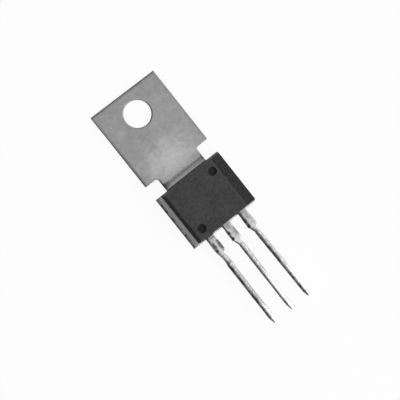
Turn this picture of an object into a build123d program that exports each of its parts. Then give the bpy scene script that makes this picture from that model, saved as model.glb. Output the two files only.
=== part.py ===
from build123d import *
import math
import os

# A three-lead power transistor lying on its back, in millimetres.
# The origin is the centre of the mounting hole on the back face of the tab.
# +X is to the right seen from the front, +Y runs from the leads towards the free end of the tab,
# and +Z points out of the front face.

# Stamped header: mounting tab, neck and die plate in one flat sheet
sheet = 0.51
tab_width = 9.76
tab_length = 10.88
hole_diameter = 3.5
hole_from_end = 3.1
end_skew = 0.17
neck_width = 6.15
neck_length = 2.01
notch_radius = 0.35
plate_length = 7.74
punched_edge_radius = 0.12

# Groove coined across the neck, to stop the epoxy creeping out
groove_width = 0.64
groove_floor = 0.16
groove_depth = 0.06
groove_from_body = 0.32

# Holes in the plate that the epoxy fills and grips
lock_diameter = 1.0
lock_flare = 0.3
lock_from_side = 2.0
lock_from_end = 2.0

# Moulded body
body_thickness = 4.5
left_ledge = 0.81
right_step = 0.08
bottom_ledge = 0.16
draft_angle = 3.5
bevel_on_front = 1.28
bevel_on_side = 1.2
left_edge_radius = 0.3
front_edge_radius = 0.12
upright_edge_radius = 0.12

# Low lip of epoxy that ran out over the neck, where the mould closed on it
lip_length = 0.12
lip_height = 0.3

# Round ejector marks in two corners of the front face
mark_diameter = 1.12
mark_depth = 0.34
mark_crown = 0.1
mark_crown_diameter = 0.5
mark_from_left = 1.065
mark_from_bevel = 0.775
mark_from_ends = 1.45

# Leads, stamped from sheet, wide at the body and narrow below a taper
lead_pitch = 2.54
lead_thickness = 0.51
lead_height = 1.5
lead_length = 13.42
root_width = 1.16
taper_start = 2.3
taper_length = 0.9
tail_width = 0.56
lead_edge_radius = 0.14
tail_shift = {"base": -0.12, "collector": 0.02, "emitter": 0.0}
tip_drift = {"base": -0.04, "collector": -0.03, "emitter": 0.12}

# Stubs left on both sides of a lead where the bar between the leads was sheared off
stub_width = 1.23
stub_from_body = 0.85
stub_length = 1.4

# Solder on the dipped end of each lead
dip_thickness = {"base": 0.08, "collector": 0.05, "emitter": 0.05}
dip_from_body = {"base": 4.25, "collector": 3.4, "emitter": 3.4}
dip_corner_radius = 0.26
dip_shoulder = 0.04
point_length = 0.7
point_width = 0.36
point_thickness = 0.34

# Inner ends of the leads
post_width = 2.0
post_length = 1.5
post_depth = 2.4
post_outset = 0.25
post_corner_radius = 0.3
post_hole_diameter = 0.6
foot_reach = 2.9
foot_length = 0.9
foot_slope_length = 0.75
foot_bend_radius = 0.4
foot_solder_thickness = 0.06

# Chip and its wires
die_size = 2.3
die_thickness = 0.25
die_from_plate_top = 2.6
die_solder_thickness = 0.05
die_solder_margin = 0.12
wire_diameter = 0.2
wire_sides = 8
wire_loop = 1.1
wedge_length = 0.5
wedge_width = 0.32
wedge_height = 0.14
wire_from_die_middle = 0.6
wire_from_post_inner_side = 0.45
wire_from_post_end = 0.38

# Places worked out from the sizes above
tab_end = hole_from_end
neck_top = tab_end - tab_length
plate_top = neck_top - neck_length
plate_end = plate_top - plate_length
body_left = -tab_width / 2 + left_ledge
body_right = tab_width / 2 - right_step
body_end = plate_end + bottom_ledge
parting_height = lead_height - lead_thickness / 2
post_top = lead_height + lead_thickness / 2
post_end = body_end + post_depth
lead_tip = body_end - lead_length
die_y = plate_top - die_from_plate_top
die_top = sheet + die_solder_thickness + die_thickness
lock_x = tab_width / 2 - lock_from_side
lock_y = plate_end + lock_from_end
lock_places = [(-lock_x, lock_y, 0), (lock_x, lock_y, 0)]
centred_on_base = (Align.CENTER, Align.CENTER, Align.MIN)

os.makedirs("parts", exist_ok=True)


# Header
with BuildPart() as header:
    with BuildSketch():
        with BuildLine():
            Polyline(
                (-tab_width / 2, tab_end + end_skew / 2),
                (tab_width / 2, tab_end - end_skew / 2),
                (tab_width / 2, neck_top),
                (neck_width / 2, neck_top),
                (neck_width / 2, plate_top),
                (body_right, plate_top),
                (body_right, plate_end),
                (-tab_width / 2, plate_end),
                (-tab_width / 2, plate_top),
                (-neck_width / 2, plate_top),
                (-neck_width / 2, neck_top),
                (-tab_width / 2, neck_top),
                close=True,
            )
        make_face()
        neck_corners = vertices().filter_by(lambda v: abs(abs(v.X) - neck_width / 2) < 0.001)
        fillet(neck_corners.group_by(Axis.Y)[-1], notch_radius)
        Circle(hole_diameter / 2, mode=Mode.SUBTRACT)
    extrude(amount=sheet)
    fillet(header.faces().sort_by(Axis.Z)[-1].edges(), punched_edge_radius)

    # The groove has a flat floor and sloping sides
    groove_middle = plate_top + groove_from_body + groove_width / 2
    with BuildSketch(Plane.YZ):
        with BuildLine():
            Polyline(
                (groove_middle - groove_width / 2, sheet),
                (groove_middle - groove_floor / 2, sheet - groove_depth),
                (groove_middle + groove_floor / 2, sheet - groove_depth),
                (groove_middle + groove_width / 2, sheet),
                close=True,
            )
        make_face()
    extrude(amount=neck_width, both=True, mode=Mode.SUBTRACT)

    # The lock holes flare towards the back
    with Locations(*lock_places):
        Cone(
            lock_diameter / 2 + lock_flare,
            lock_diameter / 2,
            sheet,
            align=centred_on_base,
            mode=Mode.SUBTRACT,
        )
header.part.label = "header"
export_step(header.part, "parts/header.step")


def tail_centre(name, root_x, y):
    """Middle of a lead's narrow tail at a height y. The tail leans a little towards its tip."""
    tail_top = body_end - taper_start - taper_length
    along = (tail_top - y) / (tail_top - lead_tip)
    return root_x + tail_shift[name] + tip_drift[name] * along


def stamped_lead(name, root_x, inner_end):
    """The flat stamping, from its inner end to where its solder begins to narrow."""
    taper_y = body_end - taper_start
    tail_y = taper_y - taper_length
    blank_end = lead_tip + point_length
    tail_x = tail_centre(name, root_x, tail_y)
    end_x = tail_centre(name, root_x, blank_end)
    with BuildPart() as stamping:
        with BuildSketch(Plane.XY.offset(parting_height)):
            with BuildLine():
                Polyline(
                    (root_x - root_width / 2, body_end),
                    (root_x - root_width / 2, taper_y),
                    (tail_x - tail_width / 2, tail_y),
                    (end_x - tail_width / 2, blank_end),
                    (end_x + tail_width / 2, blank_end),
                    (tail_x + tail_width / 2, tail_y),
                    (root_x + root_width / 2, taper_y),
                    (root_x + root_width / 2, body_end),
                    close=True,
                )
            make_face()
        extrude(amount=lead_thickness)
        flat_faces = stamping.faces().filter_by(Axis.Z)
        side_edges = flat_faces.edges().filter_by(lambda e: abs(e.tangent_at(0.5).Y) > 0.5)
        fillet(side_edges, lead_edge_radius)
        with BuildSketch(Plane.XY.offset(parting_height)):
            with Locations((root_x, (body_end + inner_end) / 2)):
                Rectangle(root_width, inner_end - body_end)
            with Locations((root_x, body_end - stub_from_body - stub_length / 2)):
                Rectangle(stub_width, stub_length)
        extrude(amount=lead_thickness)
    return stamping.part


def dipped_end(name, root_x):
    """The solder over the lower part of the tail, drawn to a blunt point."""
    full_width = tail_width + 2 * dip_thickness[name]
    full_thickness = lead_thickness + 2 * dip_thickness[name]
    point_share = point_width / full_width
    sections = [
        (body_end - dip_from_body[name], full_width, full_thickness, dip_corner_radius),
        (lead_tip + point_length, full_width, full_thickness, dip_corner_radius),
        (lead_tip, point_width, point_thickness, dip_corner_radius * point_share),
    ]
    with BuildPart() as solder:
        for y, width, thickness, corner in sections:
            section_middle = (tail_centre(name, root_x, y), y, lead_height)
            with BuildSketch(Plane(origin=section_middle, x_dir=(1, 0, 0), z_dir=(0, -1, 0))):
                RectangleRounded(width, thickness, corner)
        loft(ruled=True)
        upper_end = solder.faces().sort_by(Axis.Y)[-1]
        chamfer(upper_end.edges(), dip_shoulder)
    return solder.part


# Outer leads, each ending inside the body in a post with an anchor hole
def outer_lead(name, side):
    """The base or the emitter lead. Side is -1 on the left and 1 on the right."""
    root_x = side * lead_pitch
    with BuildPart() as lead:
        add(stamped_lead(name, root_x, post_end - post_length))
        add(dipped_end(name, root_x))
        with BuildSketch(Plane.XY.offset(parting_height)):
            with Locations((root_x + side * post_outset, post_end - post_length / 2)):
                RectangleRounded(post_width, post_length, post_corner_radius)
        extrude(amount=lead_thickness)
        with Locations((root_x + side * post_outset, post_end - post_length / 2, parting_height)):
            Cylinder(
                post_hole_diameter / 2,
                lead_thickness,
                align=centred_on_base,
                mode=Mode.SUBTRACT,
            )
    lead.part.label = name + "_lead"
    return lead


base_lead = outer_lead("base", -1)
export_step(base_lead.part, "parts/base_lead.step")

emitter_lead = outer_lead("emitter", 1)
export_step(emitter_lead.part, "parts/emitter_lead.step")


# Collector lead, whose inner end is bent down to a foot on the plate
foot_end = body_end + foot_reach
foot_start = foot_end - foot_length
foot_middle_height = sheet + foot_solder_thickness + lead_thickness / 2
bend_start = foot_start - foot_slope_length
with BuildPart() as collector_lead:
    add(stamped_lead("collector", 0, bend_start))
    add(dipped_end("collector", 0))
    with BuildSketch(Plane.YZ.offset(-root_width / 2)):
        with BuildLine():
            FilletPolyline(
                (body_end, lead_height),
                (bend_start, lead_height),
                (foot_start, foot_middle_height),
                (foot_end, foot_middle_height),
                radius=foot_bend_radius,
            )
        trace(line_width=lead_thickness)
    extrude(amount=root_width)
collector_lead.part.label = "collector_lead"
export_step(collector_lead.part, "parts/collector_lead.step")

# Solder between the collector lead's foot and the plate
with BuildPart() as foot_solder:
    with BuildSketch(Plane.XY.offset(sheet)):
        with Locations((0, foot_end - foot_length / 2)):
            Rectangle(root_width, foot_length)
    extrude(amount=foot_solder_thickness)
foot_solder.part.label = "foot_solder"
export_step(foot_solder.part, "parts/foot_solder.step")

# Chip and the solder under it
with BuildPart() as die_solder:
    with BuildSketch(Plane.XY.offset(sheet)):
        with Locations((0, die_y)):
            Rectangle(die_size + 2 * die_solder_margin, die_size + 2 * die_solder_margin)
    extrude(amount=die_solder_thickness)
die_solder.part.label = "die_solder"
export_step(die_solder.part, "parts/die_solder.step")

with BuildPart() as die:
    with BuildSketch(Plane.XY.offset(sheet + die_solder_thickness)):
        with Locations((0, die_y)):
            Rectangle(die_size, die_size)
    extrude(amount=die_thickness)
die.part.label = "die"
export_step(die.part, "parts/die.step")


def bond_wire(name, side):
    """A round wire in one loop from the chip to a post, with a flattened wedge at each end."""
    post_inner_side = side * (lead_pitch + post_outset - post_width / 2)
    start = Vector(side * wire_from_die_middle, die_y, die_top)
    end = Vector(post_inner_side + side * wire_from_post_inner_side, post_end - wire_from_post_end, post_top)
    run = Vector(end.X - start.X, end.Y - start.Y, 0)
    upright = Plane(origin=start, x_dir=run, z_dir=Vector(run.Y, -run.X, 0))
    wedge_middle = wedge_height / 2 + wire_diameter / 4
    rise = end.Z - start.Z
    with BuildPart() as wire:
        with BuildLine(upright) as route:
            ThreePointArc(
                (0, wedge_middle),
                (run.length / 2, rise / 2 + wire_loop),
                (run.length, rise + wedge_middle),
            )
        with BuildSketch(Plane(origin=route.line @ 0, z_dir=route.line % 0)):
            RegularPolygon(wire_diameter / 2, wire_sides)
        sweep()
        for place in (start, end):
            with BuildSketch(Plane(origin=place, x_dir=run, z_dir=(0, 0, 1))):
                Rectangle(wedge_length, wedge_width)
            extrude(amount=wedge_height)
    wire.part.label = name + "_wire"
    return wire


base_wire = bond_wire("base", -1)
export_step(base_wire.part, "parts/base_wire.step")

emitter_wire = bond_wire("emitter", 1)
export_step(emitter_wire.part, "parts/emitter_wire.step")


# Body: two drafted halves that meet at the leads, with the bevel along the right side
upper_height = body_thickness - parting_height
lower_height = parting_height - sheet + punched_edge_radius
front_inset = upper_height * math.tan(math.radians(draft_angle))
front_left = body_left + front_inset
bevel_start = body_right - front_inset - bevel_on_front
with BuildPart() as body:
    for direction, height in ((1, upper_height), (-1, lower_height)):
        with BuildSketch(Plane(origin=(0, 0, parting_height), x_dir=(1, 0, 0), z_dir=(0, 0, direction))):
            with Locations(((body_left + body_right) / 2, direction * (plate_top + body_end) / 2)):
                Rectangle(body_right - body_left, plate_top - body_end)
        extrude(amount=height, taper=draft_angle)
    uprights = body.edges().filter_by(lambda e: abs(e.tangent_at(0.5).Z) > 0.9)
    fillet(uprights, upright_edge_radius)

    # The bevel is cut by a wedge that runs past both ends of the body
    with BuildSketch(Plane.XZ):
        with BuildLine():
            Polyline(
                (bevel_start, body_thickness),
                (body_right, body_thickness),
                (body_right, body_thickness - bevel_on_side),
                (body_right - front_inset * (1 - bevel_on_side / upper_height), body_thickness - bevel_on_side),
                close=True,
            )
        make_face()
    extrude(amount=-2 * plate_end, both=True, mode=Mode.SUBTRACT)

    front_edges = body.faces().sort_by(Axis.Z)[-1].edges()
    fillet(front_edges.sort_by(Axis.X)[0], left_edge_radius)
    front_edges = body.faces().sort_by(Axis.Z)[-1].edges()
    fillet(front_edges.sort_by(Axis.X)[1:], front_edge_radius)

    # The lip on the neck fills the rounding of the neck's edges, because the header is taken out of it below
    with BuildSketch(Plane.XY.offset(sheet - punched_edge_radius)):
        with Locations((0, plate_top)):
            Rectangle(neck_width, 2 * lip_length)
    extrude(amount=punched_edge_radius + lip_height)

    # Ejector marks with a low crown in the middle
    mark_places = [
        (front_left + mark_from_left, body_end + mark_from_ends, body_thickness),
        (bevel_start - mark_from_bevel, plate_top - mark_from_ends, body_thickness),
    ]
    with Locations(*mark_places):
        Cylinder(
            mark_diameter / 2,
            mark_depth,
            align=(Align.CENTER, Align.CENTER, Align.MAX),
            mode=Mode.SUBTRACT,
        )
    with Locations(*[(x, y, z - mark_depth) for x, y, z in mark_places]):
        Cone(mark_crown_diameter / 2, mark_crown_diameter / 4, mark_crown, align=centred_on_base)

    # Epoxy in the lock holes, then room for everything that the body holds
    with Locations(*lock_places):
        Cylinder(lock_diameter / 2 + lock_flare, sheet, align=centred_on_base)
    held = (header, base_lead, collector_lead, emitter_lead, foot_solder, die_solder, die, base_wire, emitter_wire)
    for piece in held:
        add(piece.part, mode=Mode.SUBTRACT)
body.part.label = "body"
export_step(body.part, "parts/body.step")
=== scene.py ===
import math
import random

import bmesh
import bpy
from mathutils import Matrix, Vector, noise


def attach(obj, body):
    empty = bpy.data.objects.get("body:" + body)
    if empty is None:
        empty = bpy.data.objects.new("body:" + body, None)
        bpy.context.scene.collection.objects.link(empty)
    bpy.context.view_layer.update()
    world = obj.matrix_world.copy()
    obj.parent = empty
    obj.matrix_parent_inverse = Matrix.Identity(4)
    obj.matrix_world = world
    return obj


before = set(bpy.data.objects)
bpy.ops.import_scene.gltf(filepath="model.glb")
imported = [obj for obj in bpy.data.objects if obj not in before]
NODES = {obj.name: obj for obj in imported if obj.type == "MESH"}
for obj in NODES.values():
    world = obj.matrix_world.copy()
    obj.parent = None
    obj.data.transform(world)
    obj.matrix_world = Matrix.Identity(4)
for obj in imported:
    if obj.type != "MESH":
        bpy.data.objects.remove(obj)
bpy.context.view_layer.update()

MM = 0.001

scene = bpy.context.scene
scene.view_settings.view_transform = "Standard"

# Camera, almost square on to the front face: its axes, what it aims at, and how far it stands to the right of that,
# above it and back from it in its own axes, in millimetres
CAMERA_BACK = (-0.06528, 0.03512, 0.99725)
CAMERA_RIGHT = (0.78010, -0.62139, 0.07295)
CAMERA_AIM = (0.0, -14.0, 0.5)
CAMERA_OFFSET = (-0.947, 0.282, 225.5)
SENSOR_WIDTH = 36.0
LENS = 163.4

# Places and sizes in millimetres, as in the CAD source, and the slope of the tab's free end
HOLE_R = 1.75
GROOVE_Y = -9.15
PLATE_TOP = -9.79
END_SLOPE = 0.0174
HEADER_MIDDLE_Z = 0.25
BODY_END = -17.37
BODY_FRONT_Z = 4.5
BEVEL_X = 3.32
MARKS = [(-2.806, -15.92), (2.546, -11.24)]
MARK_R = 0.56
LEAD_Z = 1.5
LEAD_TIP = -30.79
TAPER_TOP = BODY_END - 2.3
TAIL_TOP = TAPER_TOP - 0.9
WIDE_HALF = 0.58
TAIL_HALF = 0.28
STUB_Y = -18.95

# Each lead:
#   root_x                          where it leaves the body
#   shift, drift                    how far its tail stands aside from that, and how much further its tip does
#   dip_y, dip_half                 top of the thick solder, and half its width
#   coat_y, run_bulge, run_end_y    top of the thin solder, how far it ran out on the right, and where that ends
#   streaked_to                     how far down the solder is streaked
#   dark_width, dark_tone           width and tone of the painted shade along the left side
#   stub_wall                       tone of the stub's left wall
#   spots                           x, y, half width, half length, strength and tone of each
LEADS = {
    "base": {
        "root_x": -2.54,
        "shift": -0.12,
        "drift": -0.04,
        "dip_y": -21.62,
        "dip_half": 0.36,
        "coat_y": -20.25,
        "run_bulge": 0.13,
        "run_end_y": -22.2,
        "streaked_to": -28.2,
        "dark_width": 0.46,
        "dark_tone": 0.115,
        "stub_wall": 0.45,
        "spots": [
            (-2.92, -20.50, 0.26, 0.85, 0.75, 0.42),
            (-2.12, -19.0, 0.22, 0.8, 0.75, 0.035),
            (-2.80, -18.75, 0.2, 0.55, 0.75, 0.035),
            (-2.90, -19.42, 0.2, 0.22, 0.95, 0.035),
            (-2.35, -17.68, 0.42, 0.07, 0.6, 0.035),
            (-2.33, -20.90, 0.20, 0.7, 0.8, 0.50),
            (-2.50, -23.3, 0.16, 2.2, 0.65, 0.33),
            (-2.50, -26.3, 0.16, 1.6, 0.9, 0.33),
            (-2.50, -28.75, 0.14, 0.3, 0.5, 0.40),
        ],
    },
    "collector": {
        "root_x": 0.0,
        "shift": 0.02,
        "drift": -0.03,
        "dip_y": -20.77,
        "dip_half": 0.33,
        "coat_y": -20.35,
        "run_bulge": 0.03,
        "run_end_y": -22.4,
        "streaked_to": -25.3,
        "dark_width": 0.32,
        "dark_tone": 0.15,
        "stub_wall": 0.4,
        "spots": [
            (0.44, -18.85, 0.2, 0.6, 0.4, 0.035),
            (0.1, -17.9, 0.3, 0.35, 0.2, 0.035),
            (-0.44, -18.6, 0.24, 0.26, 0.95, 0.03),
            (-0.48, -19.1, 0.14, 0.3, 0.8, 0.035),
            (-0.42, -19.45, 0.27, 0.24, 1.0, 0.03),
        ],
    },
    "emitter": {
        "root_x": 2.54,
        "shift": 0.0,
        "drift": 0.12,
        "dip_y": -20.77,
        "dip_half": 0.33,
        "coat_y": -20.35,
        "run_bulge": 0.02,
        "run_end_y": -23.0,
        "streaked_to": -26.2,
        "dark_width": 0.50,
        "dark_tone": 0.12,
        "stub_wall": 0.05,
        "spots": [
            (2.04, -18.65, 0.22, 0.3, 0.95, 0.035),
            (2.06, -19.42, 0.30, 0.26, 1.0, 0.03),
            (2.15, -17.65, 0.3, 0.2, 0.4, 0.035),
            (2.75, -18.3, 0.25, 0.6, 0.22, 0.035),
        ],
    },
}

# Solder coats: where they all end, and how finely they are drawn
COAT_END = -30.13
COAT_RINGS = 120
COAT_SIDES = 20

# Burrs on the sheared stubs: middle and half sizes
BURRS = [
    (-3.05, -19.50, 1.52, 0.08, 0.12, 0.18),
    (-0.55, -19.58, 1.52, 0.09, 0.12, 0.19),
    (1.97, -18.72, 1.50, 0.06, 0.14, 0.16),
    (1.98, -19.48, 1.54, 0.12, 0.19, 0.22),
]

# Flash over the left lead's root: where it starts and how wide it is, its top and its buried underside, and how
# finely it is drawn across and down
FLASH_X = -3.13
FLASH_WIDTH = 1.18
FLASH_TOP = 1.752
FLASH_UNDERSIDE = 1.735
FLASH_STEPS = 36
FLASH_ROWS = 5

FLOOR_HALF = 2.0
FLOOR_Z = -0.00001


def add_camera():
    back = Vector(CAMERA_BACK).normalized()
    right = Vector(CAMERA_RIGHT).normalized()
    up = back.cross(right).normalized()
    right = up.cross(back).normalized()
    to_right, to_up, to_back = CAMERA_OFFSET
    place = Vector(CAMERA_AIM) * MM + (back * to_back + right * to_right + up * to_up) * MM
    data = bpy.data.cameras.new("camera")
    data.sensor_width = SENSOR_WIDTH
    data.lens = LENS
    data.clip_start = 0.01
    data.clip_end = 20.0
    camera = bpy.data.objects.new("camera", data)
    axes = Matrix((right, up, back)).transposed()
    camera.matrix_world = Matrix.Translation(place) @ axes.to_4x4()
    scene.collection.objects.link(camera)
    scene.camera = camera


class Graph:
    """Shader nodes in short form. Each value is a constant or another node's output."""

    def __init__(self, tree):
        self.tree = tree
        tree.nodes.clear()

    def feed(self, socket, value):
        if isinstance(value, bpy.types.NodeSocket):
            self.tree.links.new(value, socket)
        else:
            socket.default_value = value

    def node(self, kind, **inputs):
        made = self.tree.nodes.new("ShaderNode" + kind)
        for name, value in inputs.items():
            self.feed(made.inputs[name.replace("_", " ")], value)
        return made

    def output(self, kind, shader):
        self.feed(self.node(kind).inputs[0], shader.outputs[0])

    def math(self, operation, *values):
        made = self.node("Math")
        made.operation = operation
        for socket, value in zip(made.inputs, values):
            self.feed(socket, value)
        return made.outputs[0]

    def plus(self, a, b):
        return self.math("ADD", a, b)

    def minus(self, a, b):
        return self.math("SUBTRACT", a, b)

    def times(self, a, b):
        return self.math("MULTIPLY", a, b)

    def largest(self, a, b):
        return self.math("MAXIMUM", a, b)

    def ramp(self, value, low, high, to_low=0.0, to_high=1.0, smooth=False):
        """What runs from to_low to to_high while the value runs from low to high."""
        made = self.node("MapRange")
        made.interpolation_type = "SMOOTHSTEP" if smooth else "LINEAR"
        for socket, given in zip(made.inputs, (value, low, high, to_low, to_high)):
            self.feed(socket, given)
        return made.outputs[0]

    def band(self, value, middle, half_width, full_within):
        """1 near the middle of a band and 0 outside it."""
        away = self.math("ABSOLUTE", self.minus(value, middle))
        return self.ramp(away, half_width, full_within, smooth=True)

    def mix(self, factor, a, b, kind="RGBA"):
        """Two colours mixed."""
        made = self.node("Mix")
        made.data_type = kind
        for name, value in (("Factor", factor), ("A", a), ("B", b)):
            self.feed(made.inputs[name], value)
        return made.outputs["Result"]

    def blend(self, factor, a, b):
        """Two numbers mixed."""
        return self.mix(factor, a, b, kind="FLOAT")

    def lay(self, strength, mask, under, over):
        """One colour laid over another where a mask is 1, at a given strength."""
        return self.mix(self.times(mask, strength), under, over)

    def parts(self, vector):
        return self.node("SeparateXYZ", Vector=vector).outputs

    def place(self):
        """Object coordinates in millimetres."""
        made = self.node("VectorMath")
        made.operation = "SCALE"
        self.feed(made.inputs[0], self.node("TexCoord").outputs["Object"])
        self.feed(made.inputs["Scale"], 1.0 / MM)
        return made.outputs[0]

    def facing(self):
        """The three parts of the surface's normal."""
        return self.parts(self.node("TexCoord").outputs["Normal"])

    def noise(self, place, scale, stretch=(1, 1, 1), detail=3.0, roughness=0.55, shift=0.0):
        mapping = self.node("Mapping", Vector=place, Scale=stretch, Location=(shift, shift, shift))
        made = self.node("TexNoise", Vector=mapping.outputs[0], Scale=scale, Detail=detail, Roughness=roughness)
        return made.outputs["Fac"]

    def spot(self, x, y, at_x, at_y, half_width, half_length, ragged, amount):
        """Distance from a place, 1 on the oval round it, with a ragged outline."""
        dx = self.math("DIVIDE", self.minus(x, at_x), half_width)
        dy = self.math("DIVIDE", self.minus(y, at_y), half_length)
        away = self.math("SQRT", self.plus(self.times(dx, dx), self.times(dy, dy)))
        return self.plus(away, self.ramp(ragged, 0.3, 0.7, -amount, amount))

    def bump(self, height, strength, distance, normal=None):
        made = self.node("Bump", Height=height, Strength=strength, Distance=distance * MM)
        if normal is not None:
            self.feed(made.inputs["Normal"], normal)
        return made.outputs["Normal"]

    def surface(self, **inputs):
        self.output("OutputMaterial", self.node("BsdfPrincipled", **inputs))


def new_material(name):
    material = bpy.data.materials.new(name)
    material.use_nodes = True
    return material, Graph(material.node_tree)


def tone(level, warm=0.0):
    return (level * (1 + warm), level, level * (1 - warm), 1.0)


# Header: dull plated sheet, mottled on both faces, marked on the front one with painted highlights and painted
# shade, with sheared sides painted dark, partly as shade
def header_material():
    material, g = new_material("header_metal")
    place = g.place()
    x, y, z = g.parts(place)
    _, normal_y, normal_z = g.facing()
    flat = g.ramp(g.math("ABSOLUTE", normal_z), 0.72, 0.995, smooth=True)
    front = g.ramp(z, HEADER_MIDDLE_Z, HEADER_MIDDLE_Z + 0.1)
    cloud = g.noise(place, 0.55, detail=4.0, roughness=0.6)
    patch = g.noise(place, 1.7, detail=5.0, roughness=0.65, shift=7.0)
    grain = g.noise(place, 9.0, shift=3.0)
    lines = g.noise(place, 1.0, stretch=(14.0, 0.45, 1.0), shift=11.0)
    level = g.plus(g.times(cloud, 0.5), g.times(patch, 0.5))
    mottled = g.mix(g.ramp(level, 0.36, 0.66), tone(0.355), tone(0.44))
    mottled = g.mix(g.ramp(grain, 0.35, 0.75, 0.0, 0.25), mottled, tone(0.29))

    # A painted sheen, broken into patches, runs from the middle of the tab down onto the neck
    smear = g.noise(place, 0.9, stretch=(1.0, 1.5, 1.0), detail=6.0, roughness=0.7, shift=31.0)
    painted_sheen = g.ramp(g.spot(x, y, -0.2, -8.1, 5.0, 5.4, smear, 0.22), 1.05, 0.1, smooth=True)
    painted_sheen = g.times(painted_sheen, g.ramp(patch, 0.35, 0.65, 0.72, 0.92))
    plate = g.mix(painted_sheen, mottled, tone(0.65))
    smudge = g.ramp(g.spot(x, y, -3.1, -0.7, 0.9, 0.8, patch, 0.3), 1.1, 0.2, smooth=True)
    plate = g.lay(0.3, smudge, plate, tone(0.55))

    # A painted highlight on the groove's far side, painted shade in the groove, and a painted highlight on the
    # strip between the groove and the body
    far_side_highlight = g.band(y, GROOVE_Y + 0.22, 0.19, 0.1)
    plate = g.lay(0.9, far_side_highlight, plate, tone(0.88))
    groove_shade = g.band(y, GROOVE_Y - 0.04, 0.22, 0.08)
    plate = g.lay(0.8, groove_shade, plate, tone(0.40))
    neck_strip_highlight = g.band(y, PLATE_TOP + 0.14, 0.17, 0.1)
    plate = g.lay(0.8, neck_strip_highlight, plate, tone(0.78))

    # Painted shade at both ends of the groove, and along the neck's left side
    groove_end_shade = g.largest(g.ramp(x, -2.1, -3.0), g.ramp(x, 2.7, 3.0, 0.0, 0.7))
    groove_end_shade = g.times(groove_end_shade, g.band(y, GROOVE_Y, 0.45, 0.25))
    plate = g.lay(0.85, groove_end_shade, plate, tone(0.06))
    neck_edge_shade = g.times(g.ramp(x, -2.76, -2.92), g.ramp(y, -8.05, -8.3))
    plate = g.lay(0.6, neck_edge_shade, plate, tone(0.06))

    # Painted shade along the tab's edges, most of it on the left side and on the free end
    ragged = g.ramp(g.noise(place, 2.4, shift=21.0), 0.3, 0.7, -0.06, 0.06)
    ragged_x = g.plus(x, ragged)
    left = g.ramp(ragged_x, -4.48, -4.68)
    right = g.ramp(ragged_x, 4.45, 4.85, 0.0, 0.35)
    from_end = g.plus(y, g.times(x, END_SLOPE))
    end = g.ramp(g.plus(from_end, ragged), 2.72, 2.96)
    darker_down = g.ramp(y, 1.0, -5.0, 0.4, 1.0)
    tab_edge_shade = g.largest(g.largest(g.times(left, darker_down), end), right)
    plate = g.lay(0.85, tab_edge_shade, plate, tone(0.17))

    # The strip beside the body was rubbed by the mould, in streaks along it
    beside = g.times(g.ramp(y, PLATE_TOP + 0.05, PLATE_TOP - 0.05), front)
    streaked = g.mix(g.ramp(lines, 0.35, 0.65), tone(0.30), tone(0.45))
    streaked = g.mix(g.ramp(x, -4.4, -4.15, 0.0, 0.5), streaked, tone(0.6))
    # Painted shade along the strip's outer left edge
    streaked = g.mix(g.times(left, g.ramp(patch, 0.42, 0.58, 0.35, 1.0)), streaked, tone(0.03))
    plate = g.mix(beside, plate, streaked)

    # The hole's lower right rim is painted dark, a crescent of painted shade
    sides = g.noise(place, 9.0, stretch=(1, 1, 0.15), shift=5.0)
    from_hole = g.spot(x, y, 0.0, 0.0, 1.0, 1.0, sides, 0.0)
    in_hole = g.ramp(from_hole, HOLE_R + 0.2, HOLE_R + 0.1)
    lower_right = g.minus(g.times(x, 0.8), g.times(y, 0.6))
    hole_rim_shade = g.times(g.ramp(lower_right, 0.9, 1.55, smooth=True), in_hole)
    plate = g.lay(0.6, hole_rim_shade, plate, tone(0.05))
    plate = g.mix(front, mottled, plate)

    # Sheared sides, painted dark partly for their rough grain and partly as painted shade, and the hole's wall,
    # painted dark as shade on its lower side
    sheared_and_shaded = g.mix(g.ramp(sides, 0.3, 0.7), tone(0.06), tone(0.17, 0.03))
    hole_wall = g.mix(g.ramp(normal_y, -0.2, 0.5), tone(0.40), tone(0.02))
    sheared_and_shaded = g.mix(in_hole, sheared_and_shaded, hole_wall)

    roughness = g.ramp(patch, 0.3, 0.7, 0.34, 0.44)
    roughness = g.blend(g.times(g.band(y, GROOVE_Y, 0.5, 0.3), front), roughness, 0.62)
    roughness = g.blend(beside, roughness, 0.2)
    height = g.plus(g.times(grain, 0.5), g.times(lines, 0.5))
    g.surface(
        Base_Color=g.mix(flat, sheared_and_shaded, plate),
        Metallic=1.0,
        Roughness=g.blend(flat, 0.62, roughness),
        Normal=g.bump(height, 0.25, 0.012),
    )
    return material
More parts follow.
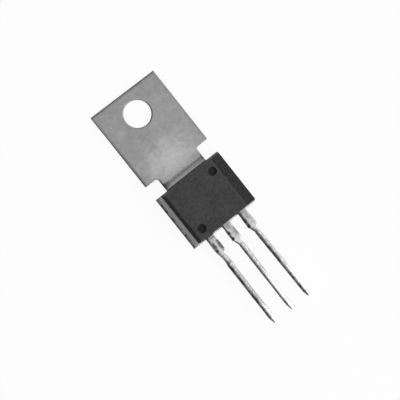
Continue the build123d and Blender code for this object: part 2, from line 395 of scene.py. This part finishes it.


# Leads: tin plate near the body, brighter solder below, with painted shade along their left side
def lead_material(name):
    lead = LEADS[name]
    root_x = lead["root_x"]
    dip_y = lead["dip_y"]
    streaked_to = lead["streaked_to"]
    dark_width = lead["dark_width"]
    dark_tone = lead["dark_tone"]
    material, g = new_material("tinned_" + name)
    place = g.place()
    x, y, _ = g.parts(place)
    normal_x = g.facing()[0]
    cloud = g.noise(place, 2.2, detail=4.0, roughness=0.65)
    grain = g.noise(place, 9.0, shift=3.0)
    lines = g.noise(place, 1.0, stretch=(10.0, 1.1, 1.0), detail=4.0, shift=9.0)

    # Plate, then streaked solder, then clean solder
    clouded = g.ramp(cloud, 0.35, 0.65)
    plate = g.mix(clouded, tone(0.55), tone(0.70))
    solder = g.mix(clouded, tone(0.86), tone(0.95))
    streaks = g.mix(g.ramp(lines, 0.35, 0.65), tone(0.42), tone(0.66))
    face = g.mix(g.ramp(y, TAPER_TOP + 0.5, TAPER_TOP - 0.4), plate, tone(0.80))
    face = g.mix(g.ramp(y, dip_y + 0.3, dip_y - 0.9, smooth=True), face, streaks)
    face = g.mix(g.ramp(y, streaked_to + 0.6, streaked_to - 0.6), face, solder)

    # How far in from the left side a place lies, with a wavy line, a little less towards the tip
    centre = g.plus(
        g.ramp(y, TAPER_TOP, TAIL_TOP, root_x, root_x + lead["shift"]),
        g.ramp(y, TAIL_TOP, LEAD_TIP, 0.0, lead["drift"]),
    )
    half = g.plus(
        g.ramp(y, TAPER_TOP, TAIL_TOP, WIDE_HALF, TAIL_HALF),
        g.ramp(y, dip_y + 0.05, dip_y - 0.05, 0.0, lead["dip_half"] - TAIL_HALF),
    )
    wave = g.noise(place, 1.0, stretch=(0.8, 1.7, 0.8), roughness=0.6, shift=root_x)
    inward = g.plus(g.minus(x, centre), half)
    inward = g.plus(inward, g.ramp(wave, 0.3, 0.7, -0.055, 0.055))
    inward = g.minus(inward, g.ramp(y, COAT_END, LEAD_TIP + 0.2, 0.0, 0.08))

    # Painted shade along the left side and where the lead leaves the body, and spots, the near-black ones painted
    # shade in the notches at the sheared stubs
    mottled = g.noise(place, 1.0, stretch=(0.6, 0.75, 0.6), detail=5.0, roughness=0.65, shift=root_x + 5.0)
    shaded_tone = g.mix(g.ramp(mottled, 0.40, 0.60), tone(dark_tone * 0.25), tone(dark_tone * 2.4))
    shaded_tone = g.mix(g.ramp(grain, 0.35, 0.65, 0.0, 0.35), shaded_tone, tone(dark_tone * 0.3))
    left = g.ramp(inward, dark_width, dark_width * 0.35, smooth=True)
    colour = g.mix(left, face, shaded_tone)
    root = g.ramp(y, BODY_END - 0.75, BODY_END - 0.1, smooth=True)
    colour = g.lay(0.35, root, colour, tone(0.12))
    for spot_x, spot_y, width, length, strength, spot_tone in lead["spots"]:
        inside = g.ramp(g.spot(x, y, spot_x, spot_y, width, length, cloud, 0.3), 1.25, 0.55, smooth=True)
        colour = g.lay(strength, inside, colour, tone(spot_tone))

    # Side walls: the left one painted dark as shade, with its stub's own tone, the right one paler down to the
    # solder
    left_wall = g.mix(0.65, shaded_tone, tone(dark_tone * 1.6))
    left_wall = g.mix(g.band(y, STUB_Y, 0.85, 0.6), left_wall, tone(lead["stub_wall"]))
    colour = g.mix(g.ramp(normal_x, -0.35, -0.8, smooth=True), colour, left_wall)
    on_right = g.ramp(normal_x, 0.2, 0.7)
    colour = g.mix(g.times(on_right, g.ramp(y, streaked_to, streaked_to + 1.0)), colour, tone(0.6))

    roughness = g.blend(left, g.ramp(cloud, 0.3, 0.7, 0.30, 0.42), 0.5)
    height = g.plus(g.times(cloud, 0.8), g.times(lines, 0.3))
    g.surface(
        Base_Color=colour,
        Metallic=1.0,
        Roughness=g.blend(on_right, roughness, 0.55),
        Normal=g.bump(height, 0.2, 0.03),
    )
    return material


# Body: moulded black epoxy with a fine matt texture, rougher on the bevel and dark in the ejector marks
def epoxy_material():
    material, g = new_material("epoxy")
    place = g.place()
    x, y, z = g.parts(place)
    normal_x, normal_y, normal_z = g.facing()
    front = g.ramp(normal_z, 0.9, 0.99, smooth=True)
    bevel = g.times(g.ramp(normal_x, 0.35, 0.5), g.ramp(normal_z, 0.35, 0.5))
    cloud = g.noise(place, 0.6, detail=4.0, roughness=0.6)
    medium = g.noise(place, 2.6, detail=4.0, roughness=0.7, shift=4.0)
    fine = g.noise(place, 9.0, detail=4.0, roughness=0.7, shift=14.0)
    coarse = g.noise(place, 3.6, detail=4.0, roughness=0.8, shift=8.0)
    mottle = g.plus(g.times(cloud, 0.3), g.times(medium, 0.7))
    colour = g.mix(g.ramp(mottle, 0.38, 0.62), tone(0.031), tone(0.058))
    blotch = g.mix(g.ramp(coarse, 0.40, 0.60), tone(0.004), tone(0.033))
    colour = g.mix(bevel, colour, blotch)

    # Painted highlights: a paler line on the front's edge at the bevel, and paler paint on the rounded left edge
    # and the top edge
    bevel_edge_highlight = g.times(g.band(x, BEVEL_X - 0.08, 0.16, 0.04), front)
    colour = g.lay(0.35, bevel_edge_highlight, colour, tone(0.07))
    rounded_edge_highlight = g.largest(g.band(normal_x, -0.5, 0.35, 0.1), g.ramp(normal_y, 0.2, 0.7))
    colour = g.lay(0.8, rounded_edge_highlight, colour, tone(0.075))

    # The left side lies in the dark, and the lip on the neck is thin and pale
    left = g.ramp(normal_x, -0.75, -0.96, smooth=True)
    colour = g.mix(left, colour, tone(0.004))
    lip = g.times(g.ramp(y, PLATE_TOP + 0.02, PLATE_TOP + 0.06), g.ramp(z, 1.0, 0.9))
    colour = g.mix(lip, colour, tone(0.14))

    # Ejector marks are darkest round a middle that caught some light
    for mark_x, mark_y in MARKS:
        away = g.spot(x, y, mark_x, mark_y, MARK_R, MARK_R, medium, 0.08)
        recess = g.times(g.ramp(away, 1.1, 0.8, smooth=True), g.ramp(z, BODY_FRONT_Z - 0.6, BODY_FRONT_Z - 0.5))
        recess = g.times(recess, g.ramp(away, 0.05, 0.4, 0.55, 1.0))
        colour = g.lay(0.85, recess, colour, tone(0.010))

    roughness = g.blend(front, 0.75, g.ramp(medium, 0.3, 0.7, 0.5, 0.62))
    fine_bump = g.bump(fine, 0.4, 0.02)
    g.surface(
        Base_Color=colour,
        Roughness=g.blend(left, roughness, 1.0),
        Specular_IOR_Level=0.22,
        Normal=g.bump(coarse, g.blend(bevel, 0.08, 0.8), 0.10, fine_bump),
    )
    return material


# Chip, solder and wires, all sealed inside the body, and the near-black painted shade of the burrs
def clouded_material(name, low, high, metallic, roughness, scale):
    material, g = new_material(name)
    cloud = g.noise(g.place(), scale, detail=4.0)
    g.surface(
        Base_Color=g.mix(g.ramp(cloud, 0.35, 0.65), low, high),
        Metallic=metallic,
        Roughness=g.ramp(cloud, 0.3, 0.7, roughness * 0.8, roughness * 1.2),
        Normal=g.bump(cloud, 0.2, 0.01),
    )
    return material


# Floor: pale, and white where it is seen or reflected, with a trace of the shadow
def add_floor():
    mesh = bpy.data.meshes.new("floor")
    corners = [(x * FLOOR_HALF, y * FLOOR_HALF, FLOOR_Z) for x, y in ((-1, -1), (1, -1), (1, 1), (-1, 1))]
    mesh.from_pydata(corners, [], [(0, 1, 2, 3)])
    floor = bpy.data.objects.new("floor", mesh)
    scene.collection.objects.link(floor)
    material, g = new_material("floor_white")
    path = g.node("LightPath").outputs
    seen = g.largest(path["Is Camera Ray"], path["Is Glossy Ray"])
    seen = g.largest(seen, path["Is Transmission Ray"])
    diffuse = g.node("BsdfDiffuse", Color=tone(0.88))
    glow = g.node("Emission", Color=tone(1.0), Strength=1.0)
    mixed = g.node("MixShader")
    for socket, value in zip(mixed.inputs, (g.times(seen, 0.92), diffuse.outputs[0], glow.outputs[0])):
        g.feed(socket, value)
    g.output("OutputMaterial", mixed)
    mesh.materials.append(material)


# World: a pale room, bright low down and on the right, dimmer overhead and dimmest to the left
def add_world():
    world = bpy.data.worlds.new("studio")
    world.use_nodes = True
    scene.world = world
    g = Graph(world.node_tree)
    x, _, z = g.parts(g.node("TexCoord").outputs["Generated"])
    overhead = g.ramp(x, -0.25, -0.8, 0.62, 0.10, smooth=True)
    overhead = g.plus(overhead, g.ramp(x, 0.5, 0.85, 0.0, 0.35, smooth=True))
    low = g.ramp(z, 0.08, 0.34, 1.0, 0.0, smooth=True)
    g.output("OutputWorld", g.node("Background", Color=tone(1.0), Strength=g.blend(low, overhead, 0.98)))


def add_lamp(name, place, aim, width, depth, watts):
    data = bpy.data.lights.new(name, "AREA")
    data.shape = "RECTANGLE"
    data.size = width
    data.size_y = depth
    data.energy = watts
    lamp = bpy.data.objects.new(name, data)
    place, aim = Vector(place), Vector(aim)
    lamp.location = place
    lamp.rotation_mode = "QUATERNION"
    lamp.rotation_quaternion = (place - aim).to_track_quat("Z", "Y")
    scene.collection.objects.link(lamp)


def finish_mesh(name, mesh, material):
    bmesh.ops.recalc_face_normals(mesh, faces=mesh.faces)
    for face in mesh.faces:
        face.smooth = True
    data = bpy.data.meshes.new(name)
    mesh.to_mesh(data)
    mesh.free()
    data.materials.append(material)
    piece = bpy.data.objects.new(name, data)
    scene.collection.objects.link(piece)
    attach(piece, "root")


def share(value, start, end):
    """How far along from start to end a value lies, from 0 to 1."""
    return min(max((value - start) / (end - start), 0.0), 1.0)


def squarer(part, power):
    """A sine or cosine, drawn out so that the ring it gives is squarer than an oval."""
    return math.copysign(abs(part) ** power, part)


# Solder on the dipped end of a lead: a wavy skin, thicker in places, whose ends are buried in the CAD solid
def solder_coat(name, material):
    lead = LEADS[name]
    root_x, dip_y, dip_half, coat_y = (lead[key] for key in ("root_x", "dip_y", "dip_half", "coat_y"))
    dip_half_z = dip_half - 0.025
    mesh = bmesh.new()
    previous = None
    for i in range(COAT_RINGS + 1):
        y = coat_y + (COAT_END - coat_y) * i / COAT_RINGS
        centre = root_x + lead["shift"] + lead["drift"] * (TAIL_TOP - y) / (TAIL_TOP - LEAD_TIP)
        dipped = share(y, dip_y + 0.45, dip_y - 0.05)
        dipped *= dipped * (3 - 2 * dipped)
        half_x = 0.285 + (dip_half - 0.275) * dipped
        half_z = 0.26 + (dip_half_z - 0.25) * dipped
        run = lead["run_bulge"] * math.sin(math.pi * share(y, coat_y, lead["run_end_y"])) ** 0.7
        buried = 0.9 if i in (0, COAT_RINGS) else 1.0
        power = 2 / (4.0 - 1.2 * dipped)
        ring = []
        for j in range(COAT_SIDES):
            angle = 2 * math.pi * j / COAT_SIDES
            c, s = math.cos(angle), math.sin(angle)
            wave = noise.noise(Vector((c * 0.7 + root_x, y * 1.6, s * 0.7)))
            wave += 0.5 * noise.noise(Vector((c * 1.6, y * 4.5, s * 1.6 + root_x)))
            proud = 0.012 + 0.022 * max(-0.4, wave)
            side_x = half_x + proud + (run if c > 0 else 0.0)
            x = centre + buried * squarer(c, power) * side_x
            z = LEAD_Z + buried * squarer(s, power) * (half_z + proud)
            ring.append(mesh.verts.new((x * MM, y * MM, z * MM)))
        if previous is None:
            mesh.faces.new(ring)
        else:
            for j in range(COAT_SIDES):
                k = (j + 1) % COAT_SIDES
                mesh.faces.new((previous[j], previous[k], ring[k], ring[j]))
        previous = ring
    mesh.faces.new(list(reversed(previous)))
    finish_mesh("solder_coat_" + name, mesh, material)


# Burrs where the bar between the leads was sheared off, near black as painted shade in the notches
def stub_burrs(material):
    mesh = bmesh.new()
    for x, y, z, half_x, half_y, half_z in BURRS:
        for vertex in bmesh.ops.create_icosphere(mesh, subdivisions=3, radius=1.0)["verts"]:
            d = vertex.co.copy()
            rough = 1.0 + 0.30 * noise.noise(d * 1.3 + Vector((x, y, z))) + 0.12 * noise.noise(d * 4.0)
            vertex.co = Vector((x + d.x * half_x * rough, y + d.y * half_y * rough, z + d.z * half_z * rough)) * MM
    finish_mesh("stub_burrs", mesh, material)


# Thin flash of epoxy that ran out over the root of the left lead: a grid of columns, each a short way down the lead
def root_flash(material):
    random.seed(3)
    columns = []
    for i in range(FLASH_STEPS + 1):
        t = i / FLASH_STEPS
        x = FLASH_X + FLASH_WIDTH * t
        reach = 0.09 + 0.07 * noise.noise(Vector((x * 2.3, 4.0, 0))) + random.uniform(-0.012, 0.012)
        reach *= min(1.0, 6 * t + 0.25, 6 * (1 - t) + 0.25)
        column = []
        for j in range(FLASH_ROWS + 1):
            w = j / FLASH_ROWS
            y = BODY_END + 0.05 - (0.05 + reach) * w
            thick = 0.05 * math.sqrt(max(0.0, 1 - w * w)) + 0.008 * noise.noise(Vector((x * 4, y * 9, 1)))
            column.append((x, y, max(thick, 0.0)))
        columns.append(column)

    mesh = bmesh.new()
    upper = [[mesh.verts.new((x * MM, y * MM, (FLASH_TOP + thick) * MM)) for x, y, thick in c] for c in columns]
    lower = [[mesh.verts.new((x * MM, y * MM, FLASH_UNDERSIDE * MM)) for x, y, _ in c] for c in columns]
    for i in range(FLASH_STEPS):
        for j in range(FLASH_ROWS):
            for side in (upper, lower):
                mesh.faces.new((side[i][j], side[i][j + 1], side[i + 1][j + 1], side[i + 1][j]))
        for j in (0, FLASH_ROWS):
            mesh.faces.new((upper[i][j], lower[i][j], lower[i + 1][j], upper[i + 1][j]))
    for j in range(FLASH_ROWS):
        for i in (0, FLASH_STEPS):
            mesh.faces.new((upper[i][j], lower[i][j], lower[i][j + 1], upper[i][j + 1]))
    finish_mesh("root_flash_base", mesh, material)


add_camera()
add_floor()
add_world()
add_lamp("key", (0.26, -0.36, 0.50), (0, -0.014, 0), 0.5, 0.45, 2.2)

header_metal = header_material()
epoxy = epoxy_material()
solder = clouded_material("solder", tone(0.42, 0.01), tone(0.58, 0.01), 1.0, 0.4, 4.0)
silicon = clouded_material("silicon", (0.16, 0.17, 0.20, 1.0), (0.24, 0.25, 0.29, 1.0), 0.0, 0.25, 3.0)
bond_wire = clouded_material("bond_wire", tone(0.72), tone(0.84), 1.0, 0.3, 9.0)
burr_shade = clouded_material("burr_shade", tone(0.015, 0.1), tone(0.07, 0.1), 0.0, 0.45, 9.0)
leads = {name: lead_material(name) for name in LEADS}

NODE_MATERIALS = {
    "header": header_metal,
    "body": epoxy,
    "base_lead": leads["base"],
    "collector_lead": leads["collector"],
    "emitter_lead": leads["emitter"],
    "die": silicon,
    "die_solder": solder,
    "foot_solder": solder,
    "base_wire": bond_wire,
    "emitter_wire": bond_wire,
}
for name, material in NODE_MATERIALS.items():
    slots = NODES[name].data.materials
    slots.clear()
    slots.append(material)

for name, material in leads.items():
    solder_coat(name, material)
root_flash(epoxy)
stub_burrs(burr_shade)
